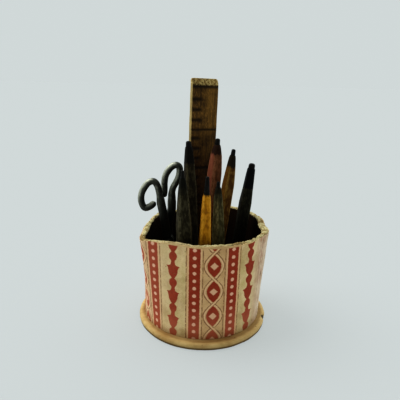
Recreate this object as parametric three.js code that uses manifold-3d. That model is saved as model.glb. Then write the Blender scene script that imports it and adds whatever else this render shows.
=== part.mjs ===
// A hand-made pen holder: a card tube wrapped in printed paper on a round wooden base, holding
// a wooden ruler, bent-wire scissors and seven whittled pencils.
//
// Millimetres, +Z up, front towards -Y. The origin is the centre of the base's underside.

import * as THREE from "three";
import { mergeVertices } from "three/addons/utils/BufferGeometryUtils.js";
import Module from "manifold-3d";

const wasm = await Module();
wasm.setup();

// ---------------------------------------------------------------- driving dimensions

const BASE_RADIUS = 41.9;
const BASE_THICKNESS = 4;
const BASE_EDGE_ROUND = 1.6;
const BASE_UNDER_CHAMFER = 0.5;
const BASE_SIDES = 72;
const BASE_ROUND_STEPS = 3;

// The cup is round where it is glued to the base and a soft, crumpled polygon at its rim.
const CUP_CENTRE = { x: -0.4, y: 1.5 };
const CUP_FOOT_RADIUS = 37.8;
const CUP_FLARE_POWER = 1.3;
const CARD_THICKNESS = 3;
const PAPER_THICKNESS = 0.35;
const GLUE_GAP = 0.1;
const PAPER_BELOW_RIM = 0.25;
const CUP_SIDES = 64;
const CUP_LEVELS = 3;
// Rim outline: angle from +X in degrees, radius and height of the outer edge.
const RIM = [
  [-160, 39.4, 63.4],
  [-146, 44.6, 62],
  [-132, 42.4, 63.2],
  [-115, 39.8, 64.4],
  [-90, 40.6, 64.5],
  [-60, 41, 64.5],
  [-35, 40.4, 63.9],
  [-14, 41.2, 63.2],
  [-2, 39.3, 63.8],
  [16, 40.1, 64.4],
  [40, 39.9, 64.8],
  [62, 39.4, 64.9],
  [90, 38.4, 64.4],
  [122, 36.9, 63],
  [147, 36.4, 63.8],
  [175, 35.2, 63.8],
];

const FLOOR_GAP = 0.3;
const FLOOR_Z = BASE_THICKNESS + FLOOR_GAP;

const RULER = { width: 17.9, thickness: 4, top: 152, yaw: 25, footX: -4.6, y: 18, topX: -1.3 };
const RULER_EDGE = 0.4;
const RULER_TOP_BEVEL = { height: 4.2, depth: 1.8 };

const LEAD_GAP = 0.12;
const PENCIL_SIDES = 16;
const PENCIL_FOOT_CHAMFER = 0.5;
// How square the section is at the full body, where the taper starts to thin, and at the end
// of the wood; a section of power 2 is round.
const SQUARENESS = [5, 4, 2.6];
const ROUND = 2;
// The lead's blunt point, as shares of the width at its end.
const TIP = { height: 0.25, width: 0.6 };

// Each pencil: where its axis meets the floor of the cup, where its point is, how far its
// square section is turned, and its width at each height above the base's underside, from the
// full body up to the end of the wood. The lead sticks out of the wood as far as the point.
const PENCILS = [
  {
    name: "slate_pencil",
    foot: [-5.1, -8.6],
    point: [-10.5, -1, 115.9],
    turn: 24,
    widths: [[86, 8], [102.5, 6.4], [112.5, 4.4]],
    lead: { width: 3.5, end: 3.2 },
    wood: 0x3a3628,
    core: 0x1c2026,
  },
  {
    name: "brown_pencil",
    foot: [-9.8, -23.8],
    point: [-12.7, -29, 103.9],
    turn: 18,
    widths: [[71, 9.2], [91.5, 5.5], [99.5, 3.3]],
    lead: { width: 2.4, end: 1.8 },
    wood: 0x4a4030,
    core: 0x22201c,
  },
  {
    name: "rose_pencil",
    foot: [-0.1, 8.5],
    point: [7.3, 6, 116.8],
    turn: 40,
    widths: [[95, 9], [106, 7.2], [113, 4.3]],
    lead: { width: 3.2, end: 2.9 },
    wood: 0xa86a4a,
    core: 0x2a1a14,
  },
  {
    name: "olive_pencil",
    foot: [4, -4.2],
    point: [16.9, 1, 111.2],
    turn: 30,
    widths: [[89, 7.4], [100, 5.5], [107.5, 3.6]],
    lead: { width: 2.7, end: 2.4 },
    wood: 0x8a6a28,
    core: 0x26282a,
  },
  {
    name: "navy_pencil",
    foot: [18.2, 10.7],
    point: [30.5, 16, 99.9],
    turn: 12,
    widths: [[74, 7.7], [86, 6.2], [96.5, 5]],
    lead: { width: 4.2, end: 4 },
    wood: 0x2c2f30,
    core: 0x141a26,
  },
  {
    name: "yellow_pencil",
    foot: [-0.6, -25.1],
    point: [0.9, -30, 101.1],
    turn: 8,
    widths: [[63, 6.9], [82, 5.4], [91, 4.4]],
    lead: { width: 3.1, end: 2 },
    wood: 0xc48a1c,
    core: 0x2c2c2a,
  },
  {
    name: "green_pencil",
    foot: [10.3, -20],
    point: [7.2, -20, 96],
    turn: 34,
    widths: [[67, 7.2], [86, 5.1], [92.5, 3.3]],
    lead: { width: 2.4, end: 1.7 },
    wood: 0x4c5038,
    core: 0x2a1c18,
  },
];

// The scissors lie in a plane across the cup and lean to the left. Their own frame has its
// origin at the rivet, +Z up along the blades' line and the front half towards -Y.
const SCISSORS = { x: -23.1, y: 5, z: 50, lean: 5.9 };
const WIRE_RADIUS = 2.2;
const WIRE_SIDES = 10;
const WIRE_STEP = 3;
// The wire's lower stretch is hammered wide up to a length of full, and is round from round on.
const STEM = { half: 2.9, full: 17, round: 23 };
// The blunt end of each handle: how far before it the wire narrows, and to what share.
const WIRE_END = { length: 1.1, share: 0.55 };
const HALF_GAP = 0.2;
// One half's blade: its point, its bowed back, its heel below the eye and its neck above it,
// then half the width of the tang that the handle's wire is welded to.
const BLADE = {
  length: 45.2,
  thickness: 1.8,
  pointX: 0.2,
  bowX: 3.4,
  bowShare: 0.7,
  backX: 3.5,
  edgeX: 1.4,
  heel: 3,
  neck: 2.4,
  tang: 1.9,
  curveSteps: 8,
};
const BOSS_THICKNESS = 2.4;
const BOSS_RADIUS = 3.8;
const RIVET = { radius: 1.2, hole: 1.27, headRadius: 2.3, headHeight: 1.2, headGap: 0.3 };
// The shoulder of the domed head, as shares of its radius and height.
const RIVET_DOME = { radius: 0.75, height: 0.7 };
const ROUND_SIDES = 24;
// Centre lines of the two bent-wire handles, as x and z from the rivet.
const FRONT_HANDLE = [
  [-0.4, 3.6], [-0.6, 8.6], [-0.7, 13.1], [-0.9, 17.2], [-1.3, 21.5], [-1.7, 25.5], [-1.8, 29],
  [-2, 32.5], [-2.4, 36], [-3.3, 38.9], [-5, 40.6], [-7.8, 40.1], [-10.7, 37.4], [-12.8, 34.2],
  [-13.9, 30.6], [-13.8, 26.8], [-12.3, 23.8], [-9.2, 24.4], [-4.9, 27.2],
];
const BACK_HANDLE = [
  [0.4, 3.6], [0.7, 8.6], [1.5, 13.1], [3, 17], [4.1, 20.5], [4.6, 24.5], [5, 28.5], [5.5, 31.7],
  [6.6, 34.5], [8.3, 37.1], [10, 39.7], [11.2, 42.5], [11.8, 45.3], [11.6, 47.5], [10.4, 48.6],
  [8.6, 48.6], [6.4, 47.4], [4.2, 45.2], [2.5, 42.5], [1.5, 39.1], [1, 35.6], [0.7, 33], [0.2, 30.6],
  [-0.4, 28.6],
];

// ---------------------------------------------------------------- shared helpers

const rad = THREE.MathUtils.degToRad;

function material(color, roughness, metalness = 0) {
  return new THREE.MeshStandardMaterial({ color, roughness, metalness });
}

// Joins rings of equal length, each counter-clockwise seen from above. A hollow body's rings
// run up the outside and back down the inside; a solid one is closed by a fan at each end.
// The way down splits its faces along the same diagonals as the way up, so that two shells
// one inside the other keep an even gap.
function loft(rings, { hollow }) {
  const count = rings[0].length;
  const positions = rings.flat().flatMap((p) => [p.x, p.y, p.z]);
  const index = [];
  const pairs = hollow ? rings.length : rings.length - 1;
  for (let i = 0; i < pairs; i += 1) {
    const lower = i * count;
    const upper = ((i + 1) % rings.length) * count;
    const goesDown = hollow && i >= rings.length / 2;
    for (let j = 0; j < count; j += 1) {
      const next = (j + 1) % count;
      const [from, to] = goesDown ? [lower + next, upper + j] : [lower + j, upper + next];
      index.push(lower + j, lower + next, to);
      index.push(from, upper + next, upper + j);
    }
  }
  if (!hollow) {
    const last = (rings.length - 1) * count;
    for (let j = 1; j < count - 1; j += 1) {
      index.push(0, j + 1, j);
      index.push(last, last + j, last + j + 1);
    }
  }
  const geometry = new THREE.BufferGeometry();
  geometry.setAttribute("position", new THREE.Float32BufferAttribute(positions, 3));
  geometry.setIndex(index);
  geometry.computeVertexNormals();
  return geometry;
}

function toSolid(geometry) {
  const bare = geometry.clone();
  bare.deleteAttribute("normal");
  bare.deleteAttribute("uv");
  const merged = mergeVertices(bare, 1e-4);
  const mesh = new wasm.Mesh({
    numProp: 3,
    vertProperties: merged.attributes.position.array,
    triVerts: new Uint32Array(merged.index.array),
  });
  return new wasm.Manifold(mesh);
}

function toGeometry(solid) {
  const mesh = solid.getMesh();
  const geometry = new THREE.BufferGeometry();
  geometry.setAttribute("position", new THREE.BufferAttribute(mesh.vertProperties, 3));
  geometry.setIndex(new THREE.BufferAttribute(mesh.triVerts, 1));
  geometry.computeVertexNormals();
  return geometry;
}

function named(name, geometry, look) {
  const mesh = new THREE.Mesh(geometry, look);
  mesh.name = name;
  return mesh;
}

// ---------------------------------------------------------------- base

function baseDisc() {
  const profile = new THREE.Path();
  profile.moveTo(0, 0);
  profile.lineTo(BASE_RADIUS - BASE_UNDER_CHAMFER, 0);
  profile.lineTo(BASE_RADIUS, BASE_UNDER_CHAMFER);
  profile.lineTo(BASE_RADIUS, BASE_THICKNESS - BASE_EDGE_ROUND);
  profile.absarc(
    BASE_RADIUS - BASE_EDGE_ROUND,
    BASE_THICKNESS - BASE_EDGE_ROUND,
    BASE_EDGE_ROUND,
    0,
    Math.PI / 2,
    false,
  );
  profile.lineTo(0, BASE_THICKNESS);
  const points = profile.getPoints(BASE_ROUND_STEPS);
  const geometry = new THREE.LatheGeometry(points, BASE_SIDES);
  geometry.rotateX(Math.PI / 2);
  return named("base_disc", geometry, material(0xb99a62, 0.8));
}

// ---------------------------------------------------------------- cup

// Radius and height of the rim's outer edge at an angle, on a smooth closed curve through RIM.
function rimAt(angle) {
  const turn = 360;
  const count = RIM.length;
  const start = RIM[0][0];
  const a = start + ((((angle - start) % turn) + turn) % turn);
  let k = count - 1;
  while (RIM[k][0] > a) k -= 1;
  const at = (i) => {
    const [deg, radius, height] = RIM[((i % count) + count) % count];
    return [deg + turn * Math.floor(i / count), radius, height];
  };
  const [p0, p1, p2, p3] = [at(k - 1), at(k), at(k + 1), at(k + 2)];
  const t = (a - p1[0]) / (p2[0] - p1[0]);
  const blend = (i) => {
    const m1 = ((p2[i] - p0[i]) / (p2[0] - p0[0])) * (p2[0] - p1[0]);
    const m2 = ((p3[i] - p1[i]) / (p3[0] - p1[0])) * (p2[0] - p1[0]);
    const h00 = 2 * t ** 3 - 3 * t ** 2 + 1;
    const h10 = t ** 3 - 2 * t ** 2 + t;
    const h01 = 3 * t ** 2 - 2 * t ** 3;
    const h11 = t ** 3 - t ** 2;
    return h00 * p1[i] + h10 * m1 + h01 * p2[i] + h11 * m2;
  };
  return { radius: blend(1), height: blend(2) };
}

// One level ring of the cup: inset is how far inside the paper's outer face it lies, level
// runs from 0 at the base to 1 at the rim, and drop lowers its top.
function cupRing(inset, level, drop) {
  const ring = [];
  for (let j = 0; j < CUP_SIDES; j += 1) {
    const angle = (360 * j) / CUP_SIDES;
    const rim = rimAt(angle);
    const radius = CUP_FOOT_RADIUS + (rim.radius - CUP_FOOT_RADIUS) * level ** CUP_FLARE_POWER;
    const z = BASE_THICKNESS + (rim.height - drop - BASE_THICKNESS) * level;
    const r = radius - inset;
    const x = CUP_CENTRE.x + r * Math.cos(rad(angle));
    const y = CUP_CENTRE.y + r * Math.sin(rad(angle));
    ring.push(new THREE.Vector3(x, y, z));
  }
  return ring;
}

function cupShell(outerInset, innerInset, drop) {
  const rings = [];
  for (let i = 0; i <= CUP_LEVELS; i += 1) rings.push(cupRing(outerInset, i / CUP_LEVELS, drop));
  for (let i = CUP_LEVELS; i >= 0; i -= 1) rings.push(cupRing(innerInset, i / CUP_LEVELS, drop));
  return loft(rings, { hollow: true });
}

function cup() {
  const cardOuter = PAPER_THICKNESS + GLUE_GAP;
  const wall = cupShell(cardOuter, cardOuter + CARD_THICKNESS, 0);
  const wrap = cupShell(0, PAPER_THICKNESS, PAPER_BELOW_RIM);
  return [
    named("cup_wall", wall, material(0x6a5034, 0.9)),
    named("paper_wrap", wrap, material(0xd9c49a, 0.85)),
  ];
}

// ---------------------------------------------------------------- ruler

function ruler() {
  const slope = (RULER.topX - RULER.footX) / RULER.top;
  const footZ = FLOOR_Z + (RULER.width / 2) * slope;
  const length = (RULER.top - footZ) * Math.hypot(1, slope);
  const half = RULER.thickness / 2 - RULER_EDGE;
  const top = length - RULER_EDGE;
  const side = new THREE.Shape();
  side.moveTo(-half, RULER_EDGE);
  side.lineTo(half, RULER_EDGE);
  side.lineTo(half, top);
  side.lineTo(-half + RULER_TOP_BEVEL.depth, top);
  side.lineTo(-half, top - RULER_TOP_BEVEL.height);
  const depth = RULER.width - 2 * RULER_EDGE;
  const geometry = new THREE.ExtrudeGeometry(side, {
    depth,
    bevelEnabled: true,
    bevelSize: RULER_EDGE,
    bevelThickness: RULER_EDGE,
    bevelSegments: 1,
  });
  geometry.translate(0, 0, -depth / 2);
  // The drawn outline's x runs along the thickness and its y up the ruler.
  const axes = new THREE.Matrix4().makeBasis(
    new THREE.Vector3(0, 1, 0),
    new THREE.Vector3(0, 0, 1),
    new THREE.Vector3(1, 0, 0),
  );
  geometry.applyMatrix4(axes);
  const mesh = named("ruler", geometry, material(0x5a3f1e, 0.6));
  mesh.rotation.z = rad(RULER.yaw);
  const lean = new THREE.Group();
  lean.position.set(RULER.footX, RULER.y, footZ);
  lean.rotation.y = Math.atan(slope);
  lean.add(mesh);
  return lean;
}

// ---------------------------------------------------------------- pencils

// A section at one height: a square with round corners, turning into a circle as power nears
// 2, turned about its centre and then sized to the width it has seen from the front.
function sectionRing(width, power, turn, z) {
  const ring = [];
  for (let j = 0; j < PENCIL_SIDES; j += 1) {
    const a = (2 * Math.PI * j) / PENCIL_SIDES;
    const c = Math.abs(Math.cos(a)) ** power;
    const s = Math.abs(Math.sin(a)) ** power;
    const r = (c + s) ** (-1 / power);
    ring.push(new THREE.Vector3(r * Math.cos(a + turn), r * Math.sin(a + turn), z));
  }
  const size = width / 2 / Math.max(...ring.map((p) => p.x));
  for (const p of ring) p.set(p.x * size, p.y * size, z);
  return ring;
}

function pencil({ name, foot, point, turn, widths, lead, wood, core }) {
  // A leaning pencil stands on the edge of its foot, so its axis starts a little higher.
  const body = widths[0][1];
  const reach = Math.hypot(point[0] - foot[0], point[1] - foot[1]) / point[2];
  const footZ = FLOOR_Z + (body / 2) * reach;
  const base = new THREE.Vector3(foot[0], foot[1], footZ);
  const axis = new THREE.Vector3(point[0], point[1], point[2]).sub(base);
  const length = axis.length();
  const stretch = length / axis.z;
  axis.normalize();
  const along = (z) => (z - footZ) * stretch;

  const outer = [
    sectionRing(body - 2 * PENCIL_FOOT_CHAMFER, SQUARENESS[0], rad(turn), 0),
    sectionRing(body, SQUARENESS[0], rad(turn), PENCIL_FOOT_CHAMFER),
  ];
  widths.forEach(([z, width], i) => {
    outer.push(sectionRing(width, SQUARENESS[i], rad(turn), along(z)));
  });
  const woodEnd = along(widths.at(-1)[0]);
  const bore = lead.width + 2 * LEAD_GAP;
  const inner = [
    sectionRing(bore, ROUND, rad(turn), woodEnd),
    sectionRing(bore, ROUND, rad(turn), 0),
  ];
  const casing = loft([...outer, ...inner], { hollow: true });

  const rod = loft(
    [
      sectionRing(lead.width, ROUND, rad(turn), 0),
      sectionRing(lead.width, ROUND, rad(turn), woodEnd),
      sectionRing(lead.end, ROUND, rad(turn), length - TIP.height * lead.end),
      sectionRing(TIP.width * lead.end, ROUND, rad(turn), length),
    ],
    { hollow: false },
  );

  const group = new THREE.Group();
  group.position.copy(base);
  group.quaternion.setFromUnitVectors(new THREE.Vector3(0, 0, 1), axis);
  group.add(named(`${name}_casing`, casing, material(wood, 0.7)));
  group.add(named(`${name}_lead`, rod, material(core, 0.5)));
  return group;
}

// ---------------------------------------------------------------- scissors

// Turns a flat outline drawn in x and z into a plate from y = front back to y = front + depth.
function plate(outline, front, depth) {
  const geometry = new THREE.ExtrudeGeometry(outline, {
    depth,
    bevelEnabled: false,
    curveSegments: BLADE.curveSteps,
  });
  geometry.rotateX(Math.PI / 2);
  geometry.translate(0, front + depth, 0);
  return toSolid(geometry);
}

function roundBar(radius, front, depth) {
  const geometry = new THREE.CylinderGeometry(radius, radius, depth, ROUND_SIDES);
  geometry.translate(0, front + depth / 2, 0);
  return toSolid(geometry);
}

// Half the wire's width in the handle's plane at a length from its lower end.
function wireHalf(length) {
  const narrowed = (length - STEM.full) / (STEM.round - STEM.full);
  return THREE.MathUtils.lerp(STEM.half, WIRE_RADIUS, THREE.MathUtils.clamp(narrowed, 0, 1));
}

function wire(points, y) {
  const curve = new THREE.CatmullRomCurve3(points.map(([x, z]) => new THREE.Vector3(x, y, z)));
  const total = curve.getLength();
  const body = total - WIRE_END.length;
  const steps = Math.round(body / WIRE_STEP);
  const ringAt = (length, share) => {
    const centre = curve.getPointAt(length / total);
    const tangent = curve.getTangentAt(length / total);
    const ring = [];
    for (let j = 0; j < WIRE_SIDES; j += 1) {
      const a = (2 * Math.PI * j) / WIRE_SIDES;
      const across = share * wireHalf(length) * Math.cos(a);
      const deep = share * WIRE_RADIUS * Math.sin(a);
      const x = centre.x + across * tangent.z;
      ring.push(new THREE.Vector3(x, y + deep, centre.z - across * tangent.x));
    }
    return ring;
  };
  const rings = [];
  for (let i = 0; i <= steps; i += 1) rings.push(ringAt((body * i) / steps, 1));
  rings.push(ringAt(total, WIRE_END.share));
  return toSolid(loft(rings, { hollow: false }));
}

// Blade and tang: side is 1 where the blade's back lies to the right and -1 to the left.
function bladeOutline(side, tangX, tangZ) {
  const outline = new THREE.Shape();
  const bowZ = -BLADE.bowShare * BLADE.length;
  outline.moveTo(side * BLADE.pointX, -BLADE.length);
  outline.quadraticCurveTo(side * BLADE.bowX, bowZ, side * BLADE.backX, -BLADE.heel);
  outline.lineTo(side * BLADE.neck, BLADE.neck);
  outline.lineTo(tangX + side * BLADE.tang, tangZ);
  outline.lineTo(tangX - side * BLADE.tang, tangZ);
  outline.lineTo(-side * BLADE.neck, BLADE.neck);
  outline.lineTo(-side * BLADE.edgeX, -BLADE.heel);
  outline.closePath();
  return outline;
}

function scissorHalf(name, handle, isFront) {
  const side = isFront ? 1 : -1;
  const [tangX, tangZ] = handle[1];
  const from = (thickness) => (isFront ? -HALF_GAP - thickness : HALF_GAP);
  const outline = bladeOutline(side, tangX, tangZ);
  const blade = plate(outline, from(BLADE.thickness), BLADE.thickness);
  const boss = roundBar(BOSS_RADIUS, from(BOSS_THICKNESS), BOSS_THICKNESS);
  const handleWire = wire(handle, isFront ? -HALF_GAP - WIRE_RADIUS : HALF_GAP + WIRE_RADIUS);
  const hole = roundBar(RIVET.hole, -2 * BOSS_THICKNESS, 4 * BOSS_THICKNESS);
  const solid = blade.add(boss).add(handleWire).subtract(hole);
  return named(name, toGeometry(solid), material(0x55574f, 0.45, 0.8));
}

function rivet() {
  const inside = HALF_GAP + BOSS_THICKNESS + RIVET.headGap;
  const outside = inside + RIVET.headHeight;
  const shoulder = inside + RIVET_DOME.height * RIVET.headHeight;
  const half = [
    [RIVET.radius, inside],
    [RIVET.headRadius, inside],
    [RIVET_DOME.radius * RIVET.headRadius, shoulder],
    [0, outside],
  ];
  const lower = [...half].reverse().map(([r, y]) => new THREE.Vector2(r, -y));
  const upper = half.map(([r, y]) => new THREE.Vector2(r, y));
  const geometry = new THREE.LatheGeometry([...lower, ...upper], ROUND_SIDES);
  return named("scissors_rivet", geometry, material(0x6a6a62, 0.4, 0.9));
}

function scissors() {
  const group = new THREE.Group();
  group.position.set(SCISSORS.x, SCISSORS.y, SCISSORS.z);
  group.rotation.y = -rad(SCISSORS.lean);
  group.add(scissorHalf("scissors_front_half", FRONT_HANDLE, true));
  group.add(scissorHalf("scissors_back_half", BACK_HANDLE, false));
  group.add(rivet());
  return group;
}

// ---------------------------------------------------------------- the whole object

const penHolder = new THREE.Group();
penHolder.add(baseDisc(), ...cup(), ruler(), scissors());
for (const spec of PENCILS) penHolder.add(pencil(spec));

export default penHolder;
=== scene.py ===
"""The looks of the pen holder: a card cup in block-printed paper on a round base, with a ruler,
bent-wire scissors and seven whittled pencils. Lengths below are millimetres unless said."""

import math
from itertools import accumulate

import bpy
from mathutils import Matrix, Vector, noise


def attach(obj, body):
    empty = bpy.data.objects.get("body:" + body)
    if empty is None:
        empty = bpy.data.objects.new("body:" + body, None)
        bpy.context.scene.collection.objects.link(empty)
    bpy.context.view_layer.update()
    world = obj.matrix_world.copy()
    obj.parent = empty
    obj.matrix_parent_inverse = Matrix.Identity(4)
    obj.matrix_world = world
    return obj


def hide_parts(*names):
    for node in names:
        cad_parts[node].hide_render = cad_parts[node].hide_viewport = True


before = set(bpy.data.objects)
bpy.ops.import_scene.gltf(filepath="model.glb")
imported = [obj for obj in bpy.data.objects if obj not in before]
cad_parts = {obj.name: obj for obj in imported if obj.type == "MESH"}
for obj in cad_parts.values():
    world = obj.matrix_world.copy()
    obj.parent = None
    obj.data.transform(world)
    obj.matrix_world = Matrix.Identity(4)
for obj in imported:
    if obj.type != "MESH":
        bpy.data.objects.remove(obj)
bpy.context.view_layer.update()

MM = 0.001
TURN = 360.0


# ------------ camera, light and floor

CAMERA_PLACE = Vector((-0.0029, -0.23976, 0.14919))  # metres
CAMERA_PITCH = 16.3
CAMERA_ROLL = 1.2
SENSOR = 36.0
LENS = 36.0

ROOM_LIGHT = (0.478, 0.512, 0.512)
CAMERA_SIDE_LIGHT = 0.55
WINDOW_SIDE_LIGHT = 1.9
SUN_LIGHT = 1.15
FLOOR_GLOW = 0.66
FLOOR_RADIUS = 30.0  # metres
FLOOR_LEVEL = -0.0001  # metres
# How much of each light counts on the floor, chosen so that the floor matches the room.
SKY_ON_FLOOR = 1.12
SUN_ON_FLOOR = 0.76


def make_camera():
    data = bpy.data.cameras.new("camera")
    data.lens = LENS
    data.sensor_width = SENSOR
    data.clip_start = 0.01
    camera = add_object("camera", data)
    tilt = Matrix.Rotation(rad(90 - CAMERA_PITCH), 4, "X")
    roll = Matrix.Rotation(rad(CAMERA_ROLL), 4, "Z")
    camera.matrix_world = Matrix.Translation(CAMERA_PLACE) @ tilt @ roll
    bpy.context.scene.camera = camera


def make_room():
    """A light tent: bright behind and beside the object and dimmer on the camera's side. What
    the camera sees of the room itself is even, and the floor meets it at the horizon."""
    world = bpy.data.worlds.new("room")
    g = Graph(world)
    _, y, _ = g.parts(g.node("ShaderNodeTexCoord", {}, output="Generated"))
    span = {"From Min": -0.9, "From Max": 0.5, "To Min": CAMERA_SIDE_LIGHT, "To Max": WINDOW_SIDE_LIGHT}
    light = g.node("ShaderNodeMapRange", {"Value": y, **span}, interpolation_type="SMOOTHSTEP")
    seen = g.node("ShaderNodeLightPath", {}, output="Is Camera Ray")
    background = g.tree.nodes["Background"]
    g.put(background.inputs["Color"], ROOM_LIGHT)
    g.put(background.inputs["Strength"], g.node("ShaderNodeMix", {0: seen, 2: light, 3: 1.0}))
    bpy.context.scene.world = world

    window = bpy.data.lights.new("window_light", "SUN")
    window.energy = SUN_LIGHT
    window.angle = rad(45)
    add_object("window_light", window).rotation_euler = (rad(-10), rad(-38), 0)

    corners = [(FLOOR_RADIUS * math.cos(a), FLOOR_RADIUS * math.sin(a), FLOOR_LEVEL) for a in around(64)]
    mesh = bpy.data.meshes.new("floor")
    mesh.from_pydata(corners, [], [range(len(corners))])
    sky = 0.5 * (CAMERA_SIDE_LIGHT + WINDOW_SIDE_LIGHT) * SKY_ON_FLOOR
    sun = SUN_LIGHT * SUN_ON_FLOOR / math.pi
    colour = [(1 - FLOOR_GLOW) * c / (c * sky + sun) for c in ROOM_LIGHT]
    paint = Paint("floor_paper", roughness=1.0, specular=0.0)
    paint.put(paint.shader.inputs["Emission Color"], ROOM_LIGHT)
    paint.put(paint.shader.inputs["Emission Strength"], FLOOR_GLOW)
    mesh.materials.append(paint.finish(colour))
    add_object("floor", mesh)


# ------------ shader expressions


class Field:
    """A number or colour that varies over a surface: one output of a graph's nodes."""

    def __init__(self, graph, socket):
        self.graph = graph
        self.socket = socket

    def __add__(self, other):
        return self.graph.math("ADD", self, other)

    def __sub__(self, other):
        return self.graph.math("SUBTRACT", self, other)

    def __rsub__(self, other):
        return self.graph.math("SUBTRACT", other, self)

    def __mul__(self, other):
        return self.graph.math("MULTIPLY", self, other)

    def __truediv__(self, other):
        return self.graph.math("DIVIDE", self, other)

    __radd__ = __add__
    __rmul__ = __mul__

    def abs(self):
        return self.graph.math("ABSOLUTE", self)

    def clamp(self):
        return self.graph.math("ADD", self, 0.0, clamp=True)

    def below(self, edge, soft):
        """1 where the field is under the edge and 0 above it, changing over a width of soft."""
        return ((edge - self) / soft + 0.5).clamp()

    def above(self, edge, soft):
        return ((self - edge) / soft + 0.5).clamp()

    def near(self, centre, half, soft):
        """1 within half of the centre."""
        return (self - centre).abs().below(half, soft)


class Graph:
    """The nodes of the world or of a material, written as expressions of Fields."""

    def __init__(self, owner):
        owner.use_nodes = True
        self.tree = owner.node_tree

    def put(self, socket, value):
        if isinstance(value, Field):
            self.tree.links.new(value.socket, socket)
        elif socket.type == "RGBA":
            socket.default_value = (*value[:3], 1)
        else:
            socket.default_value = value

    def node(self, kind, inputs, output=0, **settings):
        made = self.tree.nodes.new(kind)
        for key, value in settings.items():
            setattr(made, key, value)
        for key, value in inputs.items():
            self.put(made.inputs[key], value)
        return Field(self, made.outputs[output])

    def math(self, operation, *values, clamp=False):
        inputs = dict(enumerate(values))
        return self.node("ShaderNodeMath", inputs, operation=operation, use_clamp=clamp)

    def pick(self, *values):
        """The largest of several fields."""
        most = values[0]
        for value in values[1:]:
            most = self.math("MAXIMUM", most, value)
        return most

    def repeat(self, value, period):
        """How far the value is from the nearest whole number of periods, with its sign."""
        return self.math("FLOORED_MODULO", value + period / 2, period) - period / 2

    def mix(self, share, a, b):
        return self.node("ShaderNodeMix", {0: share, 6: a, 7: b}, output=2, data_type="RGBA")

    def layers(self, colour, *coats):
        """The colour under coats of others, each a (share, colour) pair."""
        for share, over in coats:
            colour = self.mix(share, colour, over)
        return colour

    def parts(self, vector):
        split = self.tree.nodes.new("ShaderNodeSeparateXYZ")
        self.put(split.inputs[0], vector)
        return [Field(self, split.outputs[k]) for k in range(3)]

    def reach(self, x, y, z=0.0):
        """The length of a vector."""
        vector = self.node("ShaderNodeCombineXYZ", {0: x, 1: y, 2: z})
        return self.node("ShaderNodeVectorMath", {0: vector}, output="Value", operation="LENGTH")

    def stretch(self, vector, factors):
        return self.node("ShaderNodeVectorMath", {0: vector, 1: factors}, operation="MULTIPLY")

    def noise(self, vector, size, detail=3.0, rough=0.55):
        """Cloudy noise from 0 to 1, with blotches of about this size in the vector's unit."""
        inputs = {"Vector": vector, "Scale": 1 / size, "Detail": detail, "Roughness": rough}
        return self.node("ShaderNodeTexNoise", inputs)

    def spots(self, vector, size):
        """Distance from scattered points about this far apart."""
        inputs = {"Vector": vector, "Scale": 1 / size}
        return self.node("ShaderNodeTexVoronoi", inputs, output="Distance")

    def profile(self, value, stops):
        """A piecewise straight curve through (position, height), both from 0 to 1."""
        ramp = self.tree.nodes.new("ShaderNodeValToRGB")
        elements = ramp.color_ramp.elements
        while len(elements) < len(stops):
            elements.new(0.5)
        for element, (position, height) in zip(elements, stops):
            element.position = position
            element.color = (height, height, height, 1)
        self.put(ramp.inputs[0], value)
        return Field(self, ramp.outputs[0])


class Paint(Graph):
    """A surface's material."""

    def __init__(self, name, roughness=0.6, specular=0.3, metallic=0.0):
        self.material = bpy.data.materials.new(name)
        super().__init__(self.material)
        self.shader = self.tree.nodes["Principled BSDF"]
        shine = {"Roughness": roughness, "Specular IOR Level": specular, "Metallic": metallic}
        for key, value in shine.items():
            self.put(self.shader.inputs[key], value)

    def place(self):
        """Where the point is in the piece's own frame, in millimetres."""
        return self.node("ShaderNodeAttribute", {}, output="Vector", attribute_name="own")

    def uv(self, name):
        return self.node("ShaderNodeUVMap", {}, uv_map=name)

    def attribute(self, name):
        return self.node("ShaderNodeAttribute", {}, output="Fac", attribute_name=name)

    def finish(self, colour, roughness=None, height=None, depth=0.1, strength=1.0):
        """Sets the surface's colour, its roughness and a relief of this depth."""
        self.put(self.shader.inputs["Base Color"], colour)
        if roughness is not None:
            self.put(self.shader.inputs["Roughness"], roughness)
        if height is not None:
            inputs = {"Strength": strength, "Distance": depth * MM, "Height": height}
            self.put(self.shader.inputs["Normal"], self.node("ShaderNodeBump", inputs))
        return self.material


def srgb(r, g, b):
    """A colour on the usual 0 to 255 scale, as the shader's linear values."""
    def linear(c):
        c /= 255
        return c / 12.92 if c <= 0.04045 else ((c + 0.055) / 1.055) ** 2.4
    return (linear(r), linear(g), linear(b))


# ------------ meshes


def rad(degrees):
    return math.radians(degrees)


def circle(degrees):
    """Cosine and sine."""
    return math.cos(rad(degrees)), math.sin(rad(degrees))


def around(count):
    """Angles evenly round a circle, in radians."""
    return [2 * math.pi * j / count for j in range(count)]


def hermite(t, start, end, leaving, arriving):
    """A smooth step from start to end with these slopes, t running from 0 to 1."""
    return (
        (2 * t**3 - 3 * t**2 + 1) * start
        + (t**3 - 2 * t**2 + t) * leaving
        + (3 * t**2 - 2 * t**3) * end
        + (t**3 - t**2) * arriving
    )


def unit(value):
    """The value held between 0 and 1."""
    return min(1.0, max(0.0, value))


def turned(angle, centre):
    """How far an angle is past a centre, from -180 to 180 degrees."""
    return (angle - centre + TURN / 2) % TURN - TURN / 2


def about(angle, centre, width):
    """A bell over the angle, 1 at its centre."""
    return math.exp(-((turned(angle, centre) / width) ** 2))


def ripple(x, y, z, size):
    """Smooth noise from about -1 to 1, with waves of about this size."""
    return noise.noise(Vector((x, y, z)) / size)


def add_object(name, data):
    obj = bpy.data.objects.new(name, data)
    bpy.context.collection.objects.link(obj)
    return obj


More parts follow.
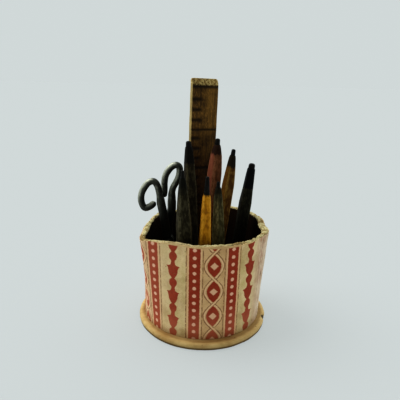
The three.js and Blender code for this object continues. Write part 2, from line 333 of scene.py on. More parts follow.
def build(name, points, faces, sharp=40.0):
    """A mesh object from points in millimetres, which it also keeps as the attribute own."""
    mesh = bpy.data.meshes.new(name)
    mesh.from_pydata([tuple(c * MM for c in p) for p in points], [], faces)
    mesh.polygons.foreach_set("use_smooth", [True] * len(mesh.polygons))
    mesh.set_sharp_from_angle(angle=rad(sharp))
    mesh.update()
    own = mesh.attributes.new(name="own", type="FLOAT_VECTOR", domain="POINT")
    own.data.foreach_set("vector", [c for p in points for c in p])
    return add_object(name, mesh)


def loft_faces(count, rings, hollow):
    """Faces between rings of count points; when hollow, the last ring joins the first."""
    faces = []
    for i in range(rings if hollow else rings - 1):
        low = i * count
        high = ((i + 1) % rings) * count
        for j in range(count):
            k = (j + 1) % count
            faces.append((low + j, low + k, high + k, high + j))
    if not hollow:
        faces.append(tuple(range(count - 1, -1, -1)))
        last = (rings - 1) * count
        faces.append(tuple(last + j for j in range(count)))
    return faces


def loft(name, rings, hollow=False, sharp=40.0):
    """A closed solid through rings that run counter-clockwise. A hollow one comes back to its
    first ring; otherwise the end rings are closed by flat faces."""
    points = [p for ring in rings for p in ring]
    return build(name, points, loft_faces(len(rings[0]), len(rings), hollow), sharp)


def set_attribute(obj, name, values):
    layer = obj.data.attributes.new(name=name, type="FLOAT", domain="POINT")
    layer.data.foreach_set("value", values)


def dress(obj, material, body, slot, *nodes):
    """Gives a piece its material and its body and hides the CAD nodes it stands for; the finish slot is
    not used.
    """
    obj.data.materials.append(material)
    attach(obj, body)
    if nodes:
        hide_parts(*nodes)
    return obj


# ------------ base

BASE_RADIUS = 41.9
BASE_THICKNESS = 4.0
BASE_SIDES = 240
CHIP = {"angle": -13.0, "width": 2.6, "depth": 1.1}


def base_profile():
    """(distance in from the edge, height) from the underside's middle, up to the top's middle."""
    under = [(BASE_RADIUS - 1, 0), (26, 0), (10, 0), (2.5, 0), (1.0, 0.02), (0.35, 0.25)]
    edge = []
    lip = 1.9
    for k in range(11):
        a = rad(-30 + 12 * k)
        edge.append((lip - lip * math.cos(a), BASE_THICKNESS - lip + lip * math.sin(a)))
    top = [(2.6, 4), (3.6, 3.98), (6, 3.96), (10, 3.98), (18, 3.98), (30, 3.97), (BASE_RADIUS - 1, 3.97)]
    return under + [p for p in edge if p[1] > 0.7] + top


def base_board():
    rings = []
    for inward, z in base_profile():
        ring = []
        for j in range(BASE_SIDES):
            a = TURN * j / BASE_SIDES
            c, s = circle(a)
            r = BASE_RADIUS - inward
            at_edge = max(0.0, 1 - inward / 5)
            wear = 0.22 + 0.22 * ripple(40 * c, 40 * s, z, 9) + 0.1 * ripple(40 * c, 40 * s, z * 2, 2.2)
            across = rad(turned(a, CHIP["angle"])) * BASE_RADIUS / CHIP["width"]
            chip = CHIP["depth"] * math.exp(-across * across) * (1 + 0.5 * ripple(9 * c, 90 * s, z, 1.5))
            r -= at_edge * (max(wear, 0) + chip)
            lift = 0.0
            if z > 2.5:
                lift = -0.05 + 0.05 * ripple(r * c, r * s, 3, 7) - 0.45 * chip * at_edge
            ring.append((r * c, r * s, z + lift))
        rings.append(ring)
    obj = loft("base_board", rings)
    return dress(obj, base_material(), "cup", "base_wood", "base_disc")


def base_material():
    g = Paint("base_wood", roughness=0.72, specular=0.18)
    p = g.place()
    x, y, z = g.parts(p)
    out = g.reach(x, y)
    grain = g.noise(g.stretch(p, (0.25, 1.6, 1.0)), 2.4, 5, 0.65)
    blotch = g.noise(p, 13, 3)
    fibre = g.noise(g.stretch(p, (0.12, 1.0, 0.8)), 0.5, 2)
    corner = out.below(39.2 + (blotch - 0.5) * 3, 1.2) * z.above(2.5, 1.0)
    chip_x, chip_y = (BASE_RADIUS * k for k in circle(CHIP["angle"]))
    away = g.reach(x - chip_x, (y - chip_y) * 0.9, (z - 3) * 0.8)
    specks = g.spots(p, 4.2).below(0.09, 0.08) * blotch.above(0.5, 0.1)
    colour = g.layers(
        g.mix(grain.above(0.5, 0.5), srgb(212, 186, 134), srgb(184, 154, 100)),
        (blotch.above(0.56, 0.2) * 0.5, srgb(150, 112, 62)),
        (fibre.above(0.62, 0.2) * 0.35, srgb(214, 186, 132)),
        # Painted light: the board's right side is lightened against the shade it lies in.
        (x.above(26, 24) * 0.5, srgb(236, 206, 148)),
        # Painted shade: a darker patch on the top at the front left, between the cup's foot and the lip.
        (x.near(-24, 6, 8) * y.below(-28, 8) * 0.5, srgb(150, 112, 62)),
        # Painted shade: the lower side darkened, a contact shadow where the board meets the floor.
        (z.below(1.5, 1.2) * 0.85, srgb(84, 62, 32)),
        # Painted shade: the top darkened in the corner next to the cup's foot.
        (corner * 0.45, srgb(124, 86, 46)),
        (out.below(35.5, 1.5), srgb(30, 21, 14)),
        (away.below(2.3 + (fibre - 0.5) * 1.5, 0.8) * 0.85, srgb(40, 28, 16)),
        (specks * 0.7, srgb(84, 58, 30)),
    )
    height = grain * 0.6 + fibre * 0.3 - specks * 0.8
    return g.finish(colour, roughness=0.6 + 0.3 * grain, height=height, depth=0.25, strength=0.7)


# ------------ cup

CUP_CENTRE = (-0.4, 1.5)
CUP_FOOT_RADIUS = 37.8
CUP_FLARE_POWER = 1.3
CARD_THICKNESS = 3.0
PAPER_THICKNESS = 0.35
GLUE_GAP = 0.1
PAPER_BELOW_RIM = 0.25
# Angle from +X, radius and height of the rim's outer edge.
RIM = [
    (-160, 39.4, 63.4), (-146, 44.6, 62), (-132, 42.4, 63.2), (-115, 39.8, 64.4), (-90, 40.6, 64.5),
    (-60, 41, 64.5), (-35, 40.4, 63.9), (-12, 41.6, 63.4), (-2, 39.3, 63.8), (16, 40.1, 64.4),
    (40, 39.9, 64.8), (62, 39.4, 64.9), (90, 38.4, 64.4), (122, 36.9, 63), (147, 36.4, 63.8),
    (175, 35.2, 63.8),
]
FRONT = -90.0
# The paper's end lies over its beginning here, on the right.
SEAM_ANGLE = 12.0
CUP_SIDES = 360
CUP_ROWS = 72


def rim_at(angle):
    """Radius and height of the rim's outer edge, on a smooth closed curve through RIM."""
    start = RIM[0][0]
    a = start + (angle - start) % TURN
    k = max(i for i, stop in enumerate(RIM) if stop[0] <= a)
    stops = []
    for i in range(k - 1, k + 3):
        degrees, radius, height = RIM[i % len(RIM)]
        stops.append((degrees + TURN * (i // len(RIM)), radius, height))
    p0, p1, p2, p3 = stops
    span = p2[0] - p1[0]
    t = (a - p1[0]) / span

    def blend(i):
        m1 = (p2[i] - p0[i]) / (p2[0] - p0[0]) * span
        m2 = (p3[i] - p1[i]) / (p3[0] - p1[0]) * span
        return hermite(t, p1[i], p2[i], m1, m2)

    return blend(1), blend(2)


def crumple(angle, level):
    """How far the paper stands out of its smooth form: more near the rim and on the right."""
    c, s = circle(angle)
    z = 60 * level
    right = about(angle, -12, 32)
    soft = 0.22 * ripple(40 * c, 40 * s, z * 0.5, 11)
    folds = (0.05 + 0.3 * right) * ripple(40 * c, 40 * s, z * 0.12, 2.6)
    return (soft + folds) * (0.15 + 0.85 * level)


def tear(angle, size, seed):
    """Uneven torn edge from 0 to 1."""
    c, s = circle(angle)
    coarse = ripple(40 * c, 40 * s, seed, size)
    fine = ripple(40 * c, 40 * s, seed + 9, size / 3.5)
    return unit(0.5 + 0.45 * coarse + 0.4 * fine)


def cup_point(angle, inset, level, top_drop):
    rim_radius, rim_height = rim_at(angle)
    radius = CUP_FOOT_RADIUS + (rim_radius - CUP_FOOT_RADIUS) * max(level, 0) ** CUP_FLARE_POWER
    r = radius - inset + crumple(angle, level)
    z = BASE_THICKNESS + 0.05 + (rim_height - top_drop - BASE_THICKNESS) * level
    c, s = circle(angle)
    return CUP_CENTRE[0] + r * c, CUP_CENTRE[1] + r * s, z


def ragged(angle):
    """The worn stretches of the rim, most of all on the right of the front and at the left."""
    front = about(angle, -42, 20) + 0.8 * about(angle, -150, 14)
    return unit(front + 0.6 * about(angle, 25, 18) + 0.9 * about(angle, 165, 22))


def rim_drop(angle):
    """How far the rim is worn down below its smooth line."""
    front = 0.4 * about(angle, -42, 16) + 0.5 * about(angle, -100, 12)
    return front + 0.8 * about(angle, 122, 12)


def card_at_rim(angle):
    """How thick the card is at the rim: crushed thin in front, swollen at the corners."""
    swollen = 2.9 * about(angle, -10, 15) + 1.0 * about(angle, 12, 12) + 1.6 * about(angle, -160, 20)
    return 1.9 + swollen


def printed_wrap():
    rings = []
    arcs = []
    angles = [SEAM_ANGLE + TURN * j / CUP_SIDES for j in range(CUP_SIDES)]
    first = min(range(CUP_SIDES), key=lambda j: abs(turned(angles[j], FRONT)))

    def drop(angle):
        return PAPER_BELOW_RIM + rim_drop(angle) + (0.7 + 0.8 * ragged(angle)) * tear(angle, 2.4, 2)

    def flap(angle):
        """The overlapping end stands about one paper's thickness out, then sinks back."""
        return 0.4 * math.exp((SEAM_ANGLE - angle) / 9)

    for i in range(CUP_ROWS + 1):
        level = i / CUP_ROWS
        ring = [cup_point(a, -flap(a), level, drop(a)) for a in angles]
        rings.append(ring)
        steps = [math.dist(p[:2], q[:2]) for p, q in zip(ring, ring[1:] + ring[:1])]
        total = list(accumulate(steps, initial=0.0))
        arcs.append([t - total[first] for t in total])
    for i in range(CUP_ROWS, -1, -1):
        level = i / CUP_ROWS
        rings.append([cup_point(a, PAPER_THICKNESS, level, drop(a)) for a in angles])
    obj = loft("printed_wrap", rings, hollow=True, sharp=60)

    def print_place(face, vertex):
        """Length along the paper, by its own row in front and the middle row behind, and height."""
        row, j = divmod(vertex, CUP_SIDES)
        row = min(row, 2 * CUP_ROWS + 1 - row)
        if j == 0 and face % CUP_SIDES == CUP_SIDES - 1:
            j = CUP_SIDES
        round_the_side = abs(turned(SEAM_ANGLE + TURN * j / CUP_SIDES, FRONT))
        share = unit((round_the_side - 65) / 50)
        own, common = arcs[row][j], arcs[CUP_ROWS // 2][j]
        return own + (common - own) * share, obj.data.vertices[vertex].co.z / MM

    layer = obj.data.uv_layers.new(name="print")
    for polygon in obj.data.polygons:
        for loop in polygon.loop_indices:
            layer.data[loop].uv = print_place(polygon.index, obj.data.loops[loop].vertex_index)
    return dress(obj, print_material(), "cup", "printed_paper", "paper_wrap")


def card_tube():
    """The card inside the paper, with its torn, crushed upper edge."""
    outer = PAPER_THICKNESS + GLUE_GAP
    angles = [TURN * j / CUP_SIDES for j in range(CUP_SIDES)]
    rings = []
    depths = []

    def add(share, level, rise, depth):
        """A ring at a share of the way through the card, lifted by rise where it is the edge."""
        ring = []
        near_rim = max(0.0, 1 - depth / 9)
        at_edge = max(0.0, 1 - depth / 2.5)
        for a in angles:
            thick = CARD_THICKNESS + (card_at_rim(a) - CARD_THICKNESS) * near_rim
            lumps = (0.7 + 0.6 * ragged(a)) * (tear(a, 2.6, 20 + 3 * share) - 0.5) * at_edge
            x, y, z = cup_point(a, outer + (thick + lumps) * share, level, rim_drop(a) * level)
            bite = (0.8 + 0.9 * ragged(a)) * (tear(a, 2.2, 5 + 4 * share) - 0.35)
            ring.append((x, y, z + rise - bite * at_edge))
        rings.append(ring)
        depths.append(depth * min(share, 1.0))

    for i in range(9):
        add(0.0, i / 8, -0.5 * (i == 8), 8 * (8 - i))
    crown = 8
    for share in (k / crown for k in range(1, crown)):
        add(share, 1, 0.55 * math.sin(math.pi * share) - 0.4, 0)
    levels = 60
    for i in range(levels + 1):
        level = (1 - i / levels) ** 1.7
        add(1.0, level, -0.5 * (i == 0), 62 * (1 - level))
    obj = loft("card_tube", rings, hollow=True, sharp=70)
    set_attribute(obj, "below_rim", [depth for depth in depths for _ in range(CUP_SIDES)])
    return dress(obj, card_material(), "cup", "card", "cup_wall")


def card_material():
    g = Paint("card", roughness=0.9, specular=0.1)
    p = g.place()
    x, y, _ = g.parts(p)
    fall = g.attribute("below_rim")
    blotch = g.noise(p, 5, 4)
    fibre = g.noise(p, 0.7, 3, 0.7)
    layer = g.noise(g.stretch(p, (1, 1, 5)), 2.2, 3)
    crumb = g.noise(p, 1.3, 3, 0.7)
    pale = g.layers(
        g.mix(fibre.above(0.5, 0.3), srgb(184, 166, 112), srgb(234, 224, 182)),
        (blotch.above(0.53, 0.12) * 0.75, srgb(132, 100, 52)),
        (y.below(-30, 10) * x.below(0, 16) * 0.6, srgb(176, 156, 122)),
        (crumb.above(0.6, 0.08) * 0.7, srgb(96, 70, 36)),
    )
    dark = g.mix(layer, srgb(26, 16, 9), srgb(56, 38, 22))
    line = 0.9 + (blotch - 0.5) * 5.0 + (fibre - 0.5) * 2.4
    share = fall.above(g.pick(line, 0.3), 0.4)
    colour = g.mix(share, pale, dark)
    height = fibre * 0.7 + layer * 0.5
    return g.finish(colour, height=height, depth=0.35, strength=0.8)


# ------------ the printed pattern

PRINT_PERIOD = 47.9
OVAL_LINE = 6.3
BAND_FROM_OVAL = 11.05
BAND_HALF = 3.2
DOT_PITCH = 4.78
DOT_FOOT = 9.05
DOT_RADIUS = 1.14
OVAL_PITCH = 16.2
OVAL_FOOT = 3.5
OVAL_HALF = (3.9, 7.0)
STRAND_SWING = 4.9
STRAND_HALF = 0.3
TULIP_PITCH = 16.65
TULIP_FOOT = 6.4
PRINT_TOP = 62.7
# Half the width of the bead, stem and cup against height, from one bead's middle to the next.
TULIP_PROFILE = [
    (0, 2.5), (1.2, 2.2), (2.0, 1.45), (2.5, 0.9), (3.1, 1.2), (4.4, 2.2), (6, 2.75), (8, 3.0),
    (9.3, 3.4), (10.2, 4.1), (10.5, 2.5), (11, 1.5), (12.9, 1.1), (13.8, 1.3), (14.5, 1.9),
    (15.4, 2.3), (16.65, 2.5),
]
TULIP_WIDEST = 4.2
WIDER_ON_THE_RIGHT = 0.7
MARGIN = (36.5, 61.0)  # unprinted stretch, along the paper's length


def print_material():
    g = Paint("printed_paper", roughness=0.8, specular=0.14)
    uv = g.uv("print")
    along, height, _ = g.parts(uv)
    shake = g.noise(uv, 1.6, 3, 0.6) - 0.5
    shake_up = g.noise(g.stretch(uv, (1.0, -1.0, 1.0)), 1.7, 3, 0.6) - 0.5
    u = along + shake * 0.8
    v = height + shake_up * 0.8
    blotch = g.noise(uv, 11, 4)
    cloud = g.noise(g.stretch(uv, (1.0, 0.6, 1.0)), 7, 3)
    speck = g.noise(uv, 0.55, 2, 0.6)
    worn = g.noise(uv, 3.2, 5, 0.7)

    from_oval = g.math("PINGPONG", u - OVAL_LINE, PRINT_PERIOD / 2)
    from_band = (from_oval - BAND_FROM_OVAL).abs()
    band = from_band.below(BAND_HALF, 0.35)
    dot_up = g.repeat(v - DOT_FOOT, DOT_PITCH)
    dots = g.reach(from_band, dot_up).below(DOT_RADIUS, 0.5)
    band_pale = from_band.near(3.65, 0.22, 0.3)
    band_line = from_band.near(4.75, 0.24, 0.3) * worn.above(0.46, 0.1)

    oval_up = g.repeat(v - OVAL_FOOT, OVAL_PITCH)
    bulge = 1.0 - g.math("POWER", oval_up / OVAL_HALF[1], 2.0)
    oval = from_oval.below(bulge * OVAL_HALF[0], 0.35)
    heart = (from_oval + oval_up.abs()).below(2.35, 0.7)
    phase = (v - OVAL_FOOT) * (math.pi / OVAL_PITCH)
    side = u - OVAL_LINE
    side = g.math("WRAP", side, PRINT_PERIOD / 2, -PRINT_PERIOD / 2)
    lean = g.math("SINE", phase) * (STRAND_SWING * math.pi / OVAL_PITCH)
    stretch = g.math("SQRT", lean * lean + 1.0)
    swing = g.math("COSINE", phase) * STRAND_SWING
    strand_a = (side - swing).abs() / stretch
    strand_b = (side + swing).abs() / stretch
    over = strand_a.below(STRAND_HALF, 0.26)
    under = strand_b.below(STRAND_HALF, 0.26) * strand_a.above(STRAND_HALF + 0.55, 0.3)
    strands = g.pick(over, under)
    outline_a = strand_a.near(0.82, 0.22, 0.3)
    outline_b = strand_b.near(0.82, 0.22, 0.3) * strand_a.above(STRAND_HALF + 0.4, 0.3)
    outline = g.pick(outline_a, outline_b) * from_oval.above(bulge * OVAL_HALF[0] + 0.35, 0.3)
    outline = outline * worn.above(0.42, 0.1)
    column = from_oval.below(5.9, 0.2)

    from_tulip = PRINT_PERIOD / 2 - from_oval
    tulip_up = g.math("FLOORED_MODULO", v - TULIP_FOOT, TULIP_PITCH) / TULIP_PITCH
    stops = [(up / TULIP_PITCH, half / TULIP_WIDEST) for up, half in TULIP_PROFILE]
    tulip_half = g.profile(tulip_up, stops) * (TULIP_WIDEST + along.above(20, 4) * WIDER_ON_THE_RIGHT)
    tulip = from_tulip.below(tulip_half, 0.4)

    printed = v.below(PRINT_TOP, 0.4)
    middle, half = (MARGIN[0] + MARGIN[1]) / 2, (MARGIN[1] - MARGIN[0]) / 2
    margin = along.near(middle, half, 1.2)
    trace = worn.above(0.5, 0.25) * blotch.above(0.46, 0.2) * 0.3
    printed = printed * ((1 - margin) + margin * trace)

    tulip_ground = from_band.above(4.8, 1.2) * from_oval.above(BAND_FROM_OVAL, 0.2)
    left = along.near(-48, 22, 30)
    tan = g.mix(worn, srgb(212, 172, 122), srgb(238, 206, 160))
    cream = g.mix(worn, srgb(228, 198, 146), srgb(250, 230, 188))
    cream = g.mix(cloud.above(0.53, 0.3) * 0.6, cream, srgb(196, 176, 116))
    bare = g.mix(worn, srgb(222, 200, 170), srgb(242, 226, 204))
    paper = g.layers(
        g.mix(tulip_ground * (1 - margin), tan, cream),
        (left * 0.5, srgb(236, 208, 176)),
        (along.near(middle, half, 12) * 0.9, bare),
        # Partly bleached bare paper and partly painted light: a near-white strip by the seam lightens the
        # right side, which faces away from the light.
        (along.near(56 + (blotch - 0.5) * 8, 5, 9) * 0.95, srgb(246, 238, 222)),
        (blotch.above(0.55, 0.16) * 0.3, srgb(160, 122, 78)),
        (speck.above(0.61, 0.12) * 0.3, srgb(150, 108, 66)),
    )
    red = g.layers(
        g.mix(worn, srgb(142, 44, 26), srgb(188, 74, 50)),
        (speck.above(0.58, 0.16) * 0.5, srgb(92, 30, 16)),
        (g.pick(left * 0.5, height.below(20 + (blotch - 0.5) * 20, 16) * 0.45), srgb(206, 124, 96)),
    )

    ink_pale = g.pick(band_pale, strands * column) * printed
    ink_dark = g.pick(band_line, outline * column) * printed
    oval_ink = oval * (1 - heart) * (1 - strands)
    ink_red = g.pick(band * (1 - dots), oval_ink, tulip) * printed
    ink_red = ink_red * (0.96 - speck.above(0.66, 0.1) * 0.35)

    foot = height.below(7.5 + (blotch - 0.5) * 6, 5)
    rim = height.above(62.9 + (worn - 0.5) * 1.5, 1.0)
    stain = g.spots(uv, 6.5).below(0.07, 0.06) * blotch.above(0.5, 0.1)
    strip = g.noise(g.stretch(uv, (1.0, 0.06, 1.0)), 0.9, 3, 0.7)
    frayed = strip.above(0.55, 0.08) * along.near(46, 7, 6) * height.above(30 + (worn - 0.5) * 60, 20)
    colour = g.layers(
        paper,
        (ink_pale * 0.85, srgb(244, 204, 164)),
        (dots * band * printed * 0.9, srgb(244, 194, 168)),
        (heart * oval * printed * 0.7, srgb(240, 192, 162)),
        (ink_dark * 0.8, srgb(118, 58, 34)),
        (ink_red, red),
        (foot * 0.3, srgb(120, 84, 44)),
        (rim * 0.6, srgb(206, 176, 128)),
        (stain * 0.6, srgb(104, 76, 40)),
        (frayed * 0.7, g.mix(worn.above(0.5, 0.2), srgb(104, 64, 40), srgb(178, 92, 72))),
    )

    relief = ink_red * 0.35 + speck * 0.45 + worn * 0.5 - ink_dark * 0.2
    return g.finish(colour, roughness=0.86 - 0.14 * ink_red, height=relief, depth=0.12, strength=0.8)


# ------------ ruler

RULER_WIDTH = 17.9
RULER_THICKNESS = 4.0
RULER_TOP = 152.0
RULER_YAW = 25.0
RULER_FOOT = (-4.6, 18.0)
RULER_TOP_X = -1.3
RULER_BEVEL = (4.2, 1.8)
CUP_FLOOR = BASE_THICKNESS + 0.3
QUARTER_INCH = 6.35
TICK_TOP = 147.2


def ruler_section(width, front, back, corner, z):
    """A rounded rectangle, counter-clockwise from above, with points along its sides too."""
    ring = []
    half, high, low = width / 2 - corner, back - corner, front + corner
    centres = [(half, high), (-half, high), (-half, low), (half, low)]
    for index, (x, y) in enumerate(centres):
        turn = 90 * index
        for c, s in (circle(turn + 90 * k / 4) for k in range(5)):
            ring.append((x + corner * c, y + corner * s, z))
        here = ring[-1]
        c, s = circle((turn + 90) % TURN)
        x, y = centres[(index + 1) % 4]
        goal = (x + corner * c, y + corner * s)
        points = 14 if index % 2 == 0 else 4
        for k in range(1, points):
            t = k / points
            ring.append((here[0] + (goal[0] - here[0]) * t, here[1] + (goal[1] - here[1]) * t, z))
    return ring


def drawn_in(from_end, radius):
    """How far a side is drawn in at this distance from an end with rounded corners."""
    inside = max(radius - from_end, 0)
    return radius - math.sqrt(max(radius**2 - inside**2, 0))


def ruler():
    slope = (RULER_TOP_X - RULER_FOOT[0]) / RULER_TOP
    foot_z = CUP_FLOOR + RULER_WIDTH / 2 * slope
    length = (RULER_TOP - foot_z) * math.hypot(1, slope)
    half = RULER_THICKNESS / 2
    rings = []
    heights = [0, 0.35] + [length * k / 150 for k in range(1, 146)]
    heights += [length - d for d in (4.6, 4.1, 3.4, 2.6, 1.9, 1.4, 1.0, 0.65, 0.35, 0.12, 0.0)]
    for z in sorted(heights):
        from_top = length - z
        width, corner, front, back = RULER_WIDTH, 0.55, -half, half
        if z < 0.3:
            width, front, back = width - 0.7, front + 0.35, back - 0.35
        if from_top < RULER_BEVEL[0]:
            share = 1 - from_top / RULER_BEVEL[0]
            front += RULER_BEVEL[1] * share ** 1.15
        width -= 1.5 * drawn_in(from_top, 1.7)
        front += 0.7 * drawn_in(from_top, 0.5)
        back -= drawn_in(from_top, 0.5)
        ring = ruler_section(width, front, back, min(corner, (back - front) / 2 - 0.02), z)
        worn = []
        for x, y, h in ring:
            chew = 0.1 + 0.1 * ripple(x, y * 2, h, 9) + 0.05 * ripple(x * 2, y, h * 0.2, 1.1)
            toward = Vector((x / (width / 2), y / half)).length
            keep = 1 - max(chew, 0) / (width / 2) * min(toward, 1.2)
            worn.append((x * keep, y * (1 - max(chew, 0) * 0.16), h))
        rings.append(worn)
    obj = loft("ruler_wood", rings, sharp=50)
    lean = Matrix.Rotation(math.atan(slope), 4, "Y")
    place = Vector((RULER_FOOT[0], RULER_FOOT[1], foot_z)) * MM
    obj.data.transform(Matrix.Translation(place) @ lean @ Matrix.Rotation(rad(RULER_YAW), 4, "Z"))
    return dress(obj, ruler_material(foot_z, length), "ruler", "ruler_wood", "ruler")


def ruler_material(foot_z, length):
    g = Paint("ruler_wood", roughness=0.55, specular=0.2)
    p = g.place()
    x, y, z = g.parts(p)
    grain = g.noise(g.stretch(p, (1.0, 1.0, 0.07)), 1.1, 5, 0.7)
    vein = g.noise(g.stretch(p, (1.0, 1.0, 0.04)), 0.45, 3, 0.6)
    blotch = g.noise(p, 9, 3)
    speckle = g.noise(g.stretch(p, (1.0, 1.0, 0.4)), 0.7, 4, 0.7)
    from_top = (TICK_TOP - foot_z) - z
    from_top = from_top - from_top.near(15.5, 11.5, 3) * 1.3
    step = g.repeat(from_top, QUARTER_INCH)
    inch = g.repeat(from_top, 4 * QUARTER_INCH)
    ragged_line = 0.95 + (grain - 0.5) * 1.3
    tick = step.abs().below(ragged_line + 0.1, 1.5) * x.below(-2.2 + (blotch - 0.5) * 4, 2.6)
    full = inch.abs().below(ragged_line, 1.3)
    on_face = y.below(-1.2, 0.4) * from_top.above(-2, 1.0)
    ink = g.pick(tick, full) * on_face * (0.55 + speckle * 0.75).clamp()

    # Painted light: the left side face is lightened as where light falls on it, and a thin painted
    # highlight runs down the right edge; worn adds these to the real wear of the top end.
    edge = g.pick(x.below(-8.72 + (grain - 0.5) * 0.6, 0.3) * 0.85, x.above(8.6, 0.3) * 0.2)
    tip = z.above(length - RULER_BEVEL[0] + 0.2 + (grain - 0.5) * 2, 0.8)
    end_flecks = g.noise(p, 1.2, 3, 0.7)
    worn = g.pick(edge, tip * (0.1 + end_flecks.above(0.5, 0.14) * 0.8))
    colour = g.layers(
        g.mix(grain.above(0.5, 0.4), srgb(56, 37, 12), srgb(126, 93, 40)),
        (speckle.above(0.57, 0.18) * 0.65, srgb(168, 126, 62)),
        # Painted highlight: golden streaks lightened over the right half of the face.
        (x.above(1.5, 6) * grain.above(0.45, 0.3) * 0.4, srgb(158, 120, 58)),
        (blotch.above(0.54, 0.14) * 0.45, srgb(44, 28, 10)),
        (vein.above(0.58, 0.14) * 0.6, srgb(36, 20, 8)),
        # Painted shade: the face darkens to a deep red-brown towards its lower end.
        (z.below(108.0 + (blotch - 0.5) * 30, 36) * 0.65, srgb(34, 14, 8)),
        (ink * 0.85, srgb(18, 9, 3)),
        # Painted light and wear: the lit side faces and the worn top end.
        (worn, g.mix(grain, srgb(158, 134, 78), srgb(206, 186, 128))),
        (tip * end_flecks.above(0.62, 0.08) * 0.6, srgb(232, 206, 154)),
    )
    relief = grain * 0.8 + vein * 0.4 - ink * 1.2
    return g.finish(colour, roughness=0.45 + 0.35 * grain, height=relief, depth=0.3, strength=0.9)


# ------------ pencils

PENCIL_POINTS = 48
SECTION_POINTS = 16
LEAD_GAP = 0.12
# How square the section is at the body, taper and wood's end, as a superellipse's power.
SQUARENESS = (5.0, 4.0, 2.6)
RING_SPACING = 1.6
SHAVED = 2.2  # length over which the wood's end is shaved thin on to the lead
# Each pencil: where its axis meets the cup's floor, its point, how far its section is turned,
# (height, width) at the body's, the taper's and the wood's end, lead and tip widths, colours of
# its paint, stained end and bare edges (also the painted highlight along its corners), and the
# height that the stain starts from. Some have a lighter left side, which is painted light,
# darker grime, or a stain that fades in over a longer stretch.
PENCILS = {
    "slate": {
        "foot": (-5.1, -8.6), "point": (-10.5, -1, 115.9), "turn": 24,
        "widths": ((86, 8), (102.5, 6.4), (112.5, 4.4)), "lead": (3.5, 3.2),
        "paint": (50, 42, 28), "stain": (26, 23, 19), "from": 102.5, "edge": (92, 84, 62),
    },
    "brown": {
        "foot": (-9.8, -23.8), "point": (-12.7, -29, 103.9), "turn": 18,
        "widths": ((71, 9.2), (91.5, 5.5), (99.5, 3.3)), "lead": (2.4, 1.8),
        "paint": (56, 50, 32), "stain": (26, 26, 18), "from": 91.5, "edge": (104, 98, 76),
        "fade": 8,
    },
    "rose": {
        "foot": (-0.1, 8.5), "point": (7.3, 6, 116.8), "turn": 40,
        "widths": ((95, 9), (106, 7.2), (113, 4.3)), "lead": (3.2, 2.9),
        "paint": (124, 82, 52), "stain": (48, 30, 20), "from": 107, "edge": (166, 116, 84),
        "left": (172, 100, 78),
    },
    "olive": {
        "foot": (4, -4.2), "point": (16.9, 1, 111.2), "turn": 30,
        "widths": ((89, 7.4), (100, 5.5), (107.5, 3.6)), "lead": (2.7, 2.4),
        "paint": (102, 66, 20), "stain": (34, 30, 20), "from": 100.5, "edge": (150, 120, 60),
        "left": (132, 90, 30),
    },
    "navy": {
        "foot": (18.2, 10.7), "point": (30.5, 16, 99.9), "turn": 12,
        "widths": ((74, 7.7), (86, 6.2), (96.5, 5)), "lead": (4.2, 4),
        "paint": (44, 42, 28), "stain": (16, 20, 26), "from": 83.5, "edge": (80, 78, 62),
    },
    "yellow": {
        "foot": (-0.6, -25.1), "point": (0.9, -30, 101.1), "turn": 8,
        "widths": ((63, 6.9), (82, 5.4), (91, 4.4)), "lead": (3.1, 2),
        "paint": (210, 147, 34), "stain": (120, 84, 30), "from": 90.4, "edge": (222, 168, 66),
        "grime": (128, 82, 18),
    },
    "green": {
        "foot": (10.3, -20), "point": (7.2, -20, 96), "turn": 34,
        "widths": ((67, 7.2), (86, 5.1), (92.5, 3.3)), "lead": (2.4, 1.7),
        "paint": (84, 77, 46), "stain": (32, 28, 18), "from": 86, "edge": (138, 130, 94),
        "fade": 8,
    },
}


def super_radius(a, power):
    """Radius of a square with round corners at an angle; power 2 is a circle."""
    return (abs(math.cos(a)) ** power + abs(math.sin(a)) ** power) ** (-1 / power)


def section(width, power, turn, z, whittle=None):
    """A ring whose extent along X is width, measured as the frame's coarser ring has it."""
    reach = max(super_radius(a, power) * math.cos(a + turn) for a in around(SECTION_POINTS))
    ring = []
    for a in around(PENCIL_POINTS):
        r = super_radius(a, power) * (width / 2 / reach)
        if whittle:
            r -= whittle(a, z, r)
        ring.append((r * math.cos(a + turn), r * math.sin(a + turn), z))
    return ring


